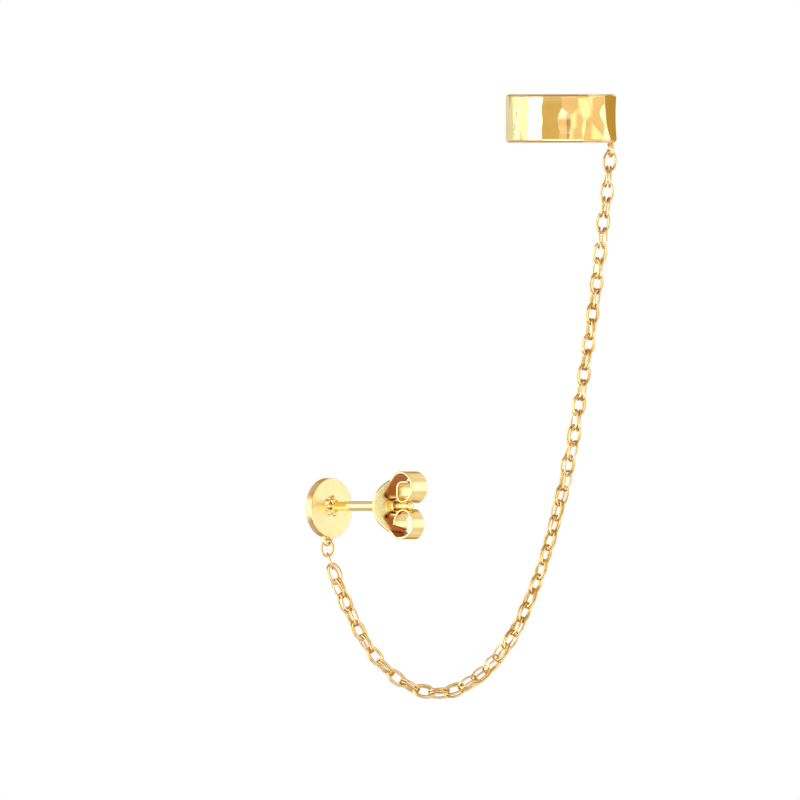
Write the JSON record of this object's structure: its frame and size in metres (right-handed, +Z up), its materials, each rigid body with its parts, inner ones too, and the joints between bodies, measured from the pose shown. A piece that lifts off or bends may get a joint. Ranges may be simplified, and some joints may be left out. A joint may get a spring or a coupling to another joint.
{
  "type": "ear chain earring",
  "caption": "Disc stud with a butterfly back, joined by a fine hanging chain of paired links to a hammered open ear cuff; gold-plated silver.",
  "frame": {"origin": "on the post's axis, halfway between the disc's back and the butterfly back, where the ear lobe sits", "axes": "+Z up, +X from the stud to the cuff along the hanging chain, +Y away from the viewer of the picture; the post runs from the disc towards +X and -Y"},
  "size_m": [0.027, 0.0119, 0.0526],
  "materials": {
    "polished_gold": "polished gold plate",
    "sheet_gold": "polished gold-plated sheet",
    "chain_gold": "bright gold-plated wire",
    "hammered_gold": "hammered and polished gold plate"
  },
  "bodies": {
    "earring": {"stud": "polished_gold", "jump_link": "chain_gold", "end_link": "chain_gold", "chain_stud_side": "chain_gold", "chain_cuff_side": "chain_gold", "cuff": "hammered_gold"},
    "back": {"butterfly_back": "sheet_gold"}
  },
  "joints": [
    {"name": "back_slide", "type": "slide", "parent": "earring", "child": "back", "axis": [0.7193, -0.6947, 0], "range_m": [-0.0062, 0.0034]}
  ]
}
